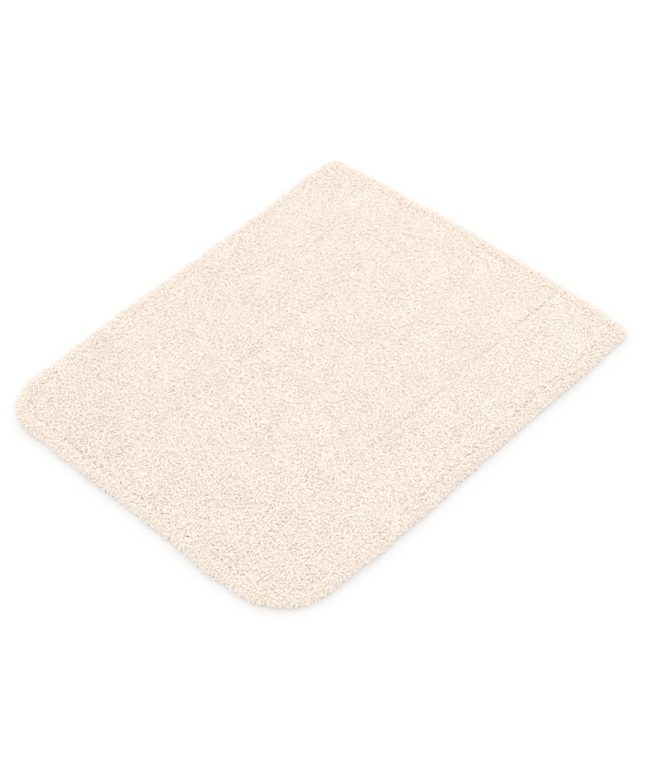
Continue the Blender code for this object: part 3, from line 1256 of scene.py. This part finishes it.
@dataclass(frozen=True)
class PileCore:
    """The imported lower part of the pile, which the tufts' free ends stand out of."""

    outline: Outline
    wave: EdgeWave
    lay: PileLay
    top: float = 0.0119
    bottom: float = 0.0028
    cell: float = 0.0032
    bump: float = 0.0008
    parting_depth: float = 0.0035
    loose_depth: float = 0.0009
    uneven: float = 0.00030
    edge_drop: float = 0.0006
    meet: float = 0.0007
    field_inset: float = 0.0171
    shoulder: tuple[tuple[float, float], ...] = (
        # inset, height, from the floor up and over
        (0.0038, 0.0012),
        (0.0030, 0.0030),
        (0.0027, 0.0052),
        (0.0030, 0.0074),
        (0.0042, 0.0094),
        (0.0062, 0.0107),
        (0.0090, 0.0113),
        (0.0160, 0.0112),
    )
    inside: tuple[tuple[float, float], ...] = (
        (0.0161, 0.0100),
        (0.0157, 0.0036),
        (0.0149, 0.0028),
        (0.0090, 0.0028),
        (0.0047, 0.0028),
        (0.0047, 0.0012),
    )

    def height(self, xy: np.ndarray) -> np.ndarray:
        """Return the height of the core's top at places in the field."""
        pull, _ = self.lay.opening(xy)
        loose = self.loose_depth * self.lay.openness(xy)
        uneven = self.uneven * self.lay.height.at(xy)
        return self.top + uneven - loose - self.parting_depth * pull

    def build(self, finish: bpy.types.Material) -> None:
        """Make the core under each band and under the border."""
        rng = np.random.default_rng(SEED + 3)
        for band in Band:
            self.field(band.value[0], finish, rng)
        section = swept(self.outline, self.shoulder + self.inside)
        outer = section[:, 1 : len(self.shoulder)]
        outer += rng.uniform(-self.bump, self.bump, outer.shape)
        ring = ring_band("pile_border_core", self.wave.moved(section))
        dress(ring, finish, "cotton_pile", *[f"edge_pile_{reach.value}" for reach in Reach])

    def field(self, node: str, finish: bpy.types.Material, rng: np.random.Generator) -> None:
        """Make the core of one band.

        Args:
            node: the band's CAD node.
            finish: the core's material.
            rng: the source of its bumps.
        """
        low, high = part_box(node)
        size = high - low
        bm = flat_grid(
            ((low + high) / 2).xy,
            (size.x / 2 + self.meet, size.y / 2 + self.meet),
            (round(size.x / self.cell), round(size.y / self.cell)),
        )
        self.outline.trim(bm, self.field_inset - self.meet)
        rim = {vert for edge in bm.edges if edge.is_boundary for vert in edge.verts}
        xy = np.array([vert.co.xy for vert in bm.verts])
        heights = self.height(xy) + rng.uniform(-self.bump, self.bump, len(xy))
        for vert, height in zip(bm.verts, heights):
            vert.co.z = height - (self.edge_drop if vert in rim else 0.0)
        thicken(bm, self.bottom, self.wave)
        dress(object_of(f"{node}_core", bm), finish, "cotton_pile", node)

    def border_rows(self, step: float) -> list[tuple[float, float, float, float]]:
        """Return even rows over the shoulder.

        Args:
            step: the distance from row to row over the shoulder.

        Returns:
            For each row its inset, its height, and how far the surface there faces out and up.
        """
        line = np.array(self.shoulder)
        gone = gone_along(line)
        rows = []
        for here in evenly(gone[-1], step):
            before, after = (
                np.array([np.interp(here + by, gone, line[:, axis]) for axis in (0, 1)])
                for by in (-step / 2, step / 2)
            )
            inset, height = (before + after) / 2
            inward, rise = unit(after - before)
            rows.append((float(inset), float(height), float(rise), float(inward)))
        return rows


@dataclass(frozen=True)
class Pile:
    """The cut pile: rows of tufts over the mat, and the border that hides the hem.

    Attributes:
        pitch: the distance from tuft to tuft and from row to row.
        sunk: how far a tuft's root lies under the core's surface.
        resting_z: the height under which tufts are pressed flat.
        ceiling: the height over which they are pressed down.
        squash: the share that is left of what is beyond those heights.
        stray_place: how far a root strays from its row.
        size_swell: how far a tuft's size follows the pile's height.
        size_stray: how far it strays.
        size_range: the smallest and the largest scale.
        loose_painted_shade: how much darker loose pile is painted, in tones, as shade in its
            deeper gaps.
        border_step: the pitch in the border.
        border_lean: how far its tufts lean, in radians.
        border_lean_stray: how far that lean strays.
        border_stray: how far their direction strays, on the side and on the top.
    """

    core: PileCore
    pitch: float = 0.00262
    sunk: float = 0.0016
    resting_z: float = 0.0011
    squash: float = 0.12
    stray_place: float = 0.00042
    cut: TuftCut = TuftCut()
    loose_painted_shade: float = 0.9
    border_step: float = 0.00228
    border_lean: float = 0.66
    border_stray: tuple[float, float] = (0.9, 1.3)
    ceiling: float = 0.0150
    size_swell: float = 0.02
    size_stray: float = 0.06
    size_range: tuple[float, float] = (0.80, 1.15)
    border_lean_stray: float = 0.2

    def build(self, finish: bpy.types.Material) -> list[bpy.types.Object]:
        """Make every piece of the pile."""
        rng = np.random.default_rng(SEED)
        strands = self.cut.strands(rng)
        made = []
        for band in Band:
            made += self.band(band, strands, finish, rng)
        return made + self.border(strands, finish, rng)

    def band(
        self,
        band: Band,
        strands: list[Strand],
        finish: bpy.types.Material,
        rng: np.random.Generator,
    ) -> list[bpy.types.Object]:
        """Make one band of rows in a few pieces.

        Args:
            band: the band.
            strands: the kinds of tuft.
            finish: the pile's material.
            rng: the source of strays.

        Returns:
            The pieces.
        """
        node, parts = band.value
        low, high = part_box(node)
        lay = self.core.lay
        edge = lay.outline.half_width - lay.seam_inset
        bottom = -edge if band is Band.RIGHT else low.y
        top = edge if band is Band.LEFT else high.y
        rows = bottom + evenly(top - bottom, self.pitch)
        along = np.arange(low.x - self.pitch, high.x + self.pitch, self.pitch)
        made = []
        for part, some in enumerate(np.array_split(rows, parts), start=1):
            x, y = np.meshgrid(along, some)
            x = x + (np.arange(len(some)) % 2)[:, None] * self.pitch / 2
            xy = np.stack([x.ravel(), y.ravel()], 1)
            xy = xy + rng.normal(0, self.stray_place, xy.shape)
            xy = xy[lay.outline.inset(xy) > lay.seam_inset]
            facing, pull = lay.facing(xy, rng)
            tufts = Tufts(
                np.column_stack([xy, self.core.height(xy) - self.sunk]),
                np.tile([1.0, 0.0, 0.0], (len(xy), 1)),
                np.tile([0.0, 0.0, 1.0], (len(xy), 1)),
                facing,
                lay.lean(xy, pull, rng),
                self.sizes(xy, rng),
                # painted shade: loose pile gets a darker tone, for the shade in its deeper gaps
                rng.normal(0, 1, len(xy)) - self.loose_painted_shade * lay.openness(xy),
            )
            made.append(self.piece(f"{node}_rows_{part}", node, tufts, strands, finish, rng))
        return made

    def sizes(self, xy: np.ndarray, rng: np.random.Generator) -> np.ndarray:
        """Return the scale of tufts at their roots."""
        swell = self.size_swell * self.core.lay.height.at(xy)
        return np.clip(1.0 + swell + rng.normal(0, self.size_stray, len(xy)), *self.size_range)

    def piece(
        self,
        name: str,
        node: str,
        tufts: Tufts,
        strands: list[Strand],
        finish: bpy.types.Material,
        rng: np.random.Generator,
    ) -> bpy.types.Object:
        """Make one piece of pile from placed tufts.

        Args:
            name: the piece's name.
            node: the CAD node that it stands for.
            tufts: the tufts.
            strands: the kinds of tuft.
            finish: the pile's material.
            rng: the source of kinds.

        Returns:
            The piece.
        """
        which = rng.integers(0, len(strands), len(tufts.roots))
        co = self.core.wave.moved(tufts.points(strands, which))
        below = np.minimum(co[..., 2] - self.resting_z, 0)
        above = np.maximum(co[..., 2] - self.ceiling, 0)
        co[..., 2] -= (below + above) * (1 - self.squash)
        return dress(repeated(name, strands, which, co, tufts.tone), finish, "cotton_pile", node)

    def border(
        self, strands: list[Strand], finish: bpy.types.Material, rng: np.random.Generator
    ) -> list[bpy.types.Object]:
        """Make the border of pile that rolls over the hem.

        Args:
            strands: the kinds of tuft.
            finish: the pile's material.
            rng: the source of strays.

        Returns:
            One piece for each region.
        """
        core = self.core
        rows = []
        for inset, height, out, up in core.border_rows(self.border_step):
            track = core.outline.track(inset, self.border_step)
            count = len(track.points)
            xy = track.points + rng.normal(0, self.stray_place, (count, 2))
            normal = np.column_stack([track.outward * out, np.full(count, up)])
            along = np.column_stack([track.along, np.zeros(count)])
            roots = np.column_stack([xy, np.full(count, height)]) - normal * self.sunk
            low, high = self.border_stray
            facing = -math.pi / 2 + rng.normal(0, low + (high - low) * up, count)
            leans = self.border_lean + rng.normal(0, self.border_lean_stray, count)
            tone = rng.normal(0, 1, count)
            rows.append((roots, along, normal, facing, leans, self.sizes(xy, rng), tone))
        fields = [np.concatenate(part) for part in zip(*rows)]
        regions = core.outline.reach_of(fields[0][:, :2], core.lay.seam_inset)
        regions = np.array([region.value for region in regions])
        made = []
        for region in Reach:
            mine = regions == region.value
            tufts = Tufts(*[values[mine] for values in fields])
            name, node = f"pile_border_{region.value}", f"edge_pile_{region.value}"
            made.append(self.piece(name, node, tufts, strands, finish, rng))
        return made


@dataclass(frozen=True)
class BaseCloth:
    """The woven cloth that the pile is tufted through."""

    outline: Outline
    wave: EdgeWave
    inset: float = 0.0067
    bottom: float = 0.0015
    thickness: float = 0.0010
    cell: float = 0.010

    def build(self, finish: bpy.types.Material) -> bpy.types.Object:
        """Make the cloth."""
        half = self.outline.half - self.inset
        bm = flat_grid((0, 0), half, [round(2 * side / self.cell) for side in half])
        self.outline.trim(bm, self.inset)
        move(bm, self.wave, self.bottom)
        bmesh.ops.recalc_face_normals(bm, faces=bm.faces[:])
        bmesh.ops.solidify(bm, geom=bm.faces[:], thickness=self.thickness)
        settle(bm, self.bottom)
        return dress(object_of("base_cloth_woven", bm, False), finish, "base_cloth", "base_cloth")

    def area(self) -> float:
        """Return the cloth's flat area, less what its corners lose."""
        size = 2 * (self.outline.half - self.inset)
        lost = sum(radius**2 for _, radius in self.outline.turns(self.inset))
        return float(size.prod() - (1 - math.pi / 4) * lost)


@dataclass(frozen=True)
class NonSlipBacking:
    """The latex coat: ribs where it covers the rows of stitches, and a window for the label."""

    outline: Outline
    wave: EdgeWave
    inset: float = 0.0202
    top: float = 0.0012
    rib_pitch: float = 0.0030
    rib_height: float = 0.00040
    steps_per_rib: int = 4
    cell: float = 0.040
    window_gap: float = 0.0003
    speck: float = 0.00008

    def build(self, finish: bpy.types.Material) -> bpy.types.Object:
        """Make the coat."""
        half = self.outline.half - self.inset
        lines = round(2 * half[1] / self.rib_pitch * self.steps_per_rib)
        bm = flat_grid((0, 0), half, (round(2 * half[0] / self.cell), lines))
        self.outline.trim(bm, self.inset)
        self.cut_window(bm)
        bmesh.ops.remove_doubles(bm, verts=bm.verts[:], dist=self.speck)
        for vert in bm.verts:
            swing = math.cos(2 * math.pi * vert.co.y / self.rib_pitch)
            vert.co.z = self.rib_height * (0.5 - 0.5 * swing)
        thicken(bm, self.top, self.wave)
        piece = object_of("latex_coat_ribbed", bm)
        return dress(piece, finish, "latex_coat", "non_slip_backing")

    def cut_window(self, bm: bmesh.types.BMesh) -> None:
        """Leave the coat off where the care label lies."""
        low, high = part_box("care_label")
        gap = self.window_gap
        sides = (
            (Vector((low.x - gap, 0, 0)), Vector((1, 0, 0))),
            (Vector((high.x + gap, 0, 0)), Vector((1, 0, 0))),
            (Vector((0, high.y + gap, 0)), Vector((0, 1, 0))),
        )
        for place, facing in sides:
            geom = bm.verts[:] + bm.edges[:] + bm.faces[:]
            bmesh.ops.bisect_plane(bm, geom=geom, plane_co=place, plane_no=facing)
        inside = []
        for face in bm.faces:
            middle = face.calc_center_median()
            if low.x - gap < middle.x < high.x + gap and middle.y < high.y + gap:
                inside.append(face)
        bmesh.ops.delete(bm, geom=inside, context="FACES")


@dataclass(frozen=True)
class HemTape:
    """The woven tape under the edge, in one strip, drawn in where the seam holds it."""

    outline: Outline
    wave: EdgeWave
    section: tuple[tuple[float, float], ...] = (
        # inset, height
        (0.0068, 0.00060),
        (0.0071, 0.00012),
        (0.0080, 0.00000),
        (0.0118, 0.00004),
        (0.0152, 0.00010),
        (0.0160, 0.00040),
        (0.0168, 0.00010),
        (0.0190, 0.00000),
        (0.0197, 0.00010),
        (0.0199, 0.00060),
        (0.0197, 0.00110),
        (0.0160, 0.00118),
        (0.0120, 0.00120),
        (0.0080, 0.00120),
        (0.0071, 0.00105),
    )

    def build(self, finish: bpy.types.Material) -> bpy.types.Object:
        """Make the tape."""
        rows = swept(self.outline, self.section)
        piece = ring_band("hem_tape_strip", self.wave.moved(rows))
        nodes = [f"hem_tape_{region.value}" for region in Reach]
        return dress(piece, finish, "cotton_tape", *nodes)


def strung(track: Track, out: np.ndarray, ahead: np.ndarray, height: np.ndarray) -> np.ndarray:
    """Return the points of a strand that is repeated at each step of a track.

    Args:
        track: the line.
        out: how far outward of it each of the strand's points is.
        ahead: how far along it.
        height: how high above the floor.

    Returns:
        X, Y and Z for each step and each of the strand's points.
    """
    xy = track.points[:, None, :] + out[:, None] * track.outward[:, None, :]
    xy = xy + ahead[:, None] * track.along[:, None, :]
    z = np.broadcast_to(height[:, None], (*xy.shape[:2], 1))
    return np.concatenate([xy, z], -1)


@dataclass(frozen=True)
class Stitching:
    """A line of stitches round the mat, each one a short hump of thread.

    Attributes:
        height: the height of a stitch's ends.
        rise: how far a stitch rises in its middle, below zero where it hangs.
        pitch: the distance from stitch to stitch.
        ends: the length of each end, in pitches.
        middle: the length of each half between the ends, in pitches.
        start: the girth where a stitch starts.
        slant: how far stitches stray from the line.
    """

    name: str
    node: str
    outline: Outline
    wave: EdgeWave
    height: float
    radius: float
    rise: float
    inset: float = 0.0162
    pitch: float = 0.0032
    sides: int = 4
    ends: float = 0.06
    middle: float = 0.41
    start: float = 0.75
    slant: float = 0.03

    def build(self, finish: bpy.types.Material) -> bpy.types.Object:
        """Make the line of stitches."""
        slope = self.rise / (self.pitch / 4)
        up, down = (0.0, slope, 1.0), (0.0, -slope, 1.0)
        shares = (
            # heading, length in pitches, girth over the last
            (up, self.ends, 1.3),
            ((0, 0, 1), self.middle, 1.05),
            (down, self.middle, 1.0),
            (down, self.ends, 0.6),
        )
        steps = [Step(heading, share * self.pitch, girth) for heading, share, girth in shares]
        strand = StrandMaker(self.sides, self.radius * self.start).make(steps, up)
        track = self.outline.track(self.inset, self.pitch)
        count = len(track.points)
        rng = np.random.default_rng(SEED + 1)
        along = unit(track.along + track.outward * rng.normal(0, self.slant, count)[:, None])
        across = np.stack([-along[:, 1], along[:, 0]], 1)
        side, up, ahead = (strand.co - [0, 0, self.pitch * (self.ends + self.middle)]).T
        line = Track(track.points, along, across)
        co = self.wave.moved(strung(line, side, ahead, self.height + up))
        which = np.zeros(count, int)
        piece = repeated(self.name, [strand], which, co, rng.normal(0, 1, count))
        return dress(piece, finish, "sewing_thread", self.node)


@dataclass(frozen=True)
class OverlockEdging:
    """The overlocked edge of the base cloth: yarn wrapped over it, side by side."""

    outline: Outline
    wave: EdgeWave
    pitch: float = 0.0013
    radius: float = 0.00036
    sides: int = 4
    slant: float = 0.35
    core: tuple[tuple[float, float], ...] = (
        (0.0065, 0.00095),
        (0.0057, 0.00100),
        (0.0055, 0.00155),
        (0.0057, 0.00215),
        (0.0065, 0.00225),
        (0.0066, 0.00160),
    )
    loop: tuple[tuple[float, float], ...] = (
        # inset, height
        (0.0066, 0.00225),
        (0.0058, 0.00222),
        (0.0054, 0.00155),
        (0.0058, 0.00092),
        (0.0066, 0.00090),
    )

    def build(self, finish: bpy.types.Material) -> list[bpy.types.Object]:
        """Make the core and its wraps."""
        core = ring_band("overlock_core", self.wave.moved(swept(self.outline, self.core)))
        steps = [
            Step((-inward, up, 0.0), math.hypot(inward, up))
            for inward, up in np.diff(self.loop, axis=0)
        ]
        strand = StrandMaker(self.sides, self.radius).make(steps, steps[0].heading)
        first, first_height = self.loop[0]
        middle = (first + self.loop[2][0]) / 2
        track = self.outline.track(middle, self.pitch)
        count = len(track.points)
        height = strand.co[:, 1] + first_height
        shift = self.slant * self.pitch * np.sign(height - height.mean()) - strand.co[:, 2]
        co = self.wave.moved(strung(track, strand.co[:, 0] - (first - middle), shift, height))
        tone = np.random.default_rng(SEED + 2).normal(0, 1, count)
        wraps = repeated("overlock_wraps", [strand], np.zeros(count, int), co, tone)
        return [dress(piece, finish, "edging_yarn", "overlock_edging") for piece in (core, wraps)]


@dataclass(frozen=True)
class CareLabel:
    """A blank satin ribbon, sewn in at the hem and lying flat under the mat."""

    cell: float = 0.0015
    ripple: float = 0.00005
    waves: tuple[float, float] = (400.0, 5.0)

    def build(self, finish: bpy.types.Material) -> tuple[bpy.types.Object, tuple[float, float]]:
        """Make the label and return it with its flat size."""
        low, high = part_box("care_label")
        size = high - low
        cells = (round(size.x / self.cell), round(size.y / self.cell))
        bm = flat_grid(((low + high) / 2).xy, (size.x / 2, size.y / 2), cells)
        for vert in bm.verts:
            along = (vert.co.y - low.y) / size.y
            wave = math.sin(self.waves[1] * along) * math.cos(self.waves[0] * vert.co.x)
            vert.co.z = self.ripple * wave
        bmesh.ops.solidify(bm, geom=bm.faces[:], thickness=size.z - 2 * self.ripple)
        settle(bm, low.z)
        bmesh.ops.recalc_face_normals(bm, faces=bm.faces[:])
        piece = object_of("care_label_ribbon", bm, False)
        return dress(piece, finish, "satin_label", "care_label"), (size.x, size.y)


@dataclass(frozen=True)
class Studio:
    """The floor, the light and the camera.

    Attributes:
        azimuth: the camera's place round the mat, from -Y towards +X, in degrees.
        elevation: its height above the floor, in degrees.
        roll: how far it is turned about its own line of sight, in degrees.
        distance: from the point that it looks at.
        looks_at: that point, on the floor.
        lens: focal length in millimetres.
        sensor: the longer side of the film in millimetres.
        key_spread: how wide the lamp looks, in degrees.
        bounces: how often light is followed on.
        softness: the view's gamma, which keeps the shadows light.
        key_place: where the lamp's light comes from.
    """

    azimuth: float = 137.63
    elevation: float = 46.97
    roll: float = -5.02
    distance: float = 2.2695
    looks_at: tuple[float, float] = (0.0138, 0.0243)
    lens: float = 86.91
    sensor: float = 36.0
    floor_size: float = 6.0
    sky: float = 1.225
    key_power: float = 0.343
    key_spread: float = 40.0
    bounces: int = 16
    softness: float = 2.15
    key_place: tuple[float, float, float] = (-1.0, -1.0, 1.9)

    def build(self) -> None:
        """Make the whole studio."""
        self.floor()
        self.light()
        self.camera()
        scene = bpy.context.scene
        scene.view_settings.view_transform = "Standard"
        scene.view_settings.gamma = self.softness
        scene.cycles.max_bounces = scene.cycles.diffuse_bounces = self.bounces

    def floor(self) -> None:
        """Lay the floor."""
        bm = flat_grid((0, 0), (self.floor_size / 2, self.floor_size / 2), (1, 1))
        floor = object_of("studio_floor", bm, False)
        floor.data.materials.append(FloorFinish().material())

    def light(self) -> None:
        """Set the even sky and one soft lamp from behind the mat."""
        world = bpy.data.worlds.new("even_sky")
        bpy.context.scene.world = world
        world.use_nodes = True
        sky = next(node for node in world.node_tree.nodes if node.type == "BACKGROUND")
        sky.inputs["Color"].default_value = (1.0, 1.0, 1.0, 1.0)
        sky.inputs["Strength"].default_value = self.sky
        lamp = bpy.data.lights.new("key_lamp", "SUN")
        lamp.energy = self.key_power
        lamp.angle = math.radians(self.key_spread)
        key = linked("key_lamp", lamp)
        key.location = self.key_place
        key.rotation_euler = (-Vector(self.key_place)).to_track_quat("-Z", "Y").to_euler()

    def camera(self) -> None:
        """Place the camera."""
        azimuth, elevation, roll = map(math.radians, (self.azimuth, self.elevation, self.roll))
        back = Vector(
            (
                math.sin(azimuth) * math.cos(elevation),
                -math.cos(azimuth) * math.cos(elevation),
                math.sin(elevation),
            )
        )
        right = (-back).cross(Vector((0, 0, 1))).normalized()
        up = right.cross(-back)
        turned = math.cos(roll) * right + math.sin(roll) * up
        upward = math.cos(roll) * up - math.sin(roll) * right
        lens = bpy.data.cameras.new("camera")
        lens.sensor_width = self.sensor
        lens.lens = self.lens
        camera = linked("camera", lens)
        camera.location = back * self.distance + Vector((*self.looks_at, 0))
        camera.rotation_euler = Matrix((turned, upward, back)).transposed().to_euler()
        bpy.context.scene.camera = camera


def main() -> None:
    """Build the mat's pieces in order."""
    logging.basicConfig(level=logging.INFO, format="%(name)s %(message)s")
    Studio().build()
    (low_x, low_y, _), (high_x, high_y, _) = CAD_BOX
    outline = Outline((high_x - low_x) / 2, (high_y - low_y) / 2)
    wave = EdgeWave(outline)

    # the second colour is the root's painted shade, a little darker than the tip
    cotton = YarnFinish("cotton_pile_yarn", (0.980, 0.794, 0.628, 1), (0.945, 0.765, 0.598, 1))
    # the second colour is painted shade between the packed tufts
    packed = PackedPileFinish(
        "cotton_pile_packed", (0.960, 0.780, 0.616, 1), (0.915, 0.737, 0.570, 1)
    )
    # the second colour is painted shade between the threads
    canvas = PlainWeaveFinish("base_cloth_weave", (0.86, 0.78, 0.68, 1), (0.66, 0.57, 0.47, 1))
    # the second colour is painted shade in the grooves between the ribs
    tape_weave = TwillFinish("hem_tape_twill", (0.90, 0.83, 0.74, 1), (0.70, 0.61, 0.51, 1))
    latex = LatexFinish("latex_skin", (0.86, 0.82, 0.74, 1), (0.78, 0.73, 0.64, 1))
    edging_yarn = YarnFinish(
        "edging_yarn_spun",
        (0.92, 0.84, 0.75, 1),
        (0.92, 0.84, 0.75, 1),
        twists=6.0,
        twist_depth=0.00012,
    )
    thread = YarnFinish(
        "sewing_thread_spun",
        (0.93, 0.88, 0.80, 1),
        (0.93, 0.88, 0.80, 1),
        plies=3,
        twists=10.0,
        twist_depth=0.00006,
        sheen=0.1,
    )
    satin = SatinFinish("satin_ribbon", (0.90, 0.90, 0.88, 1))

    coat = NonSlipBacking(outline, wave).build(latex.material())
    base = BaseCloth(outline, wave)
    cloth = base.build(canvas.material())
    tape = HemTape(outline, wave).build(tape_weave.material())
    sewn = thread.material()
    needle = Stitching(
        "needle_stitches", "hem_needle_thread", outline, wave, 0.0030, 0.0003, 0.0002
    ).build(sewn)
    bobbin = Stitching(
        "bobbin_stitches", "hem_bobbin_thread", outline, wave, 0.00032, 0.000175, -0.00012
    ).build(sewn)
    edging = OverlockEdging(outline, wave).build(edging_yarn.material())
    label, label_size = CareLabel().build(satin.material())
    core = PileCore(outline, wave, PileLay(outline))
    core.build(packed.material())
    pile = Pile(core).build(cotton.material())

    base.area()


if __name__ == "__main__":
    main()
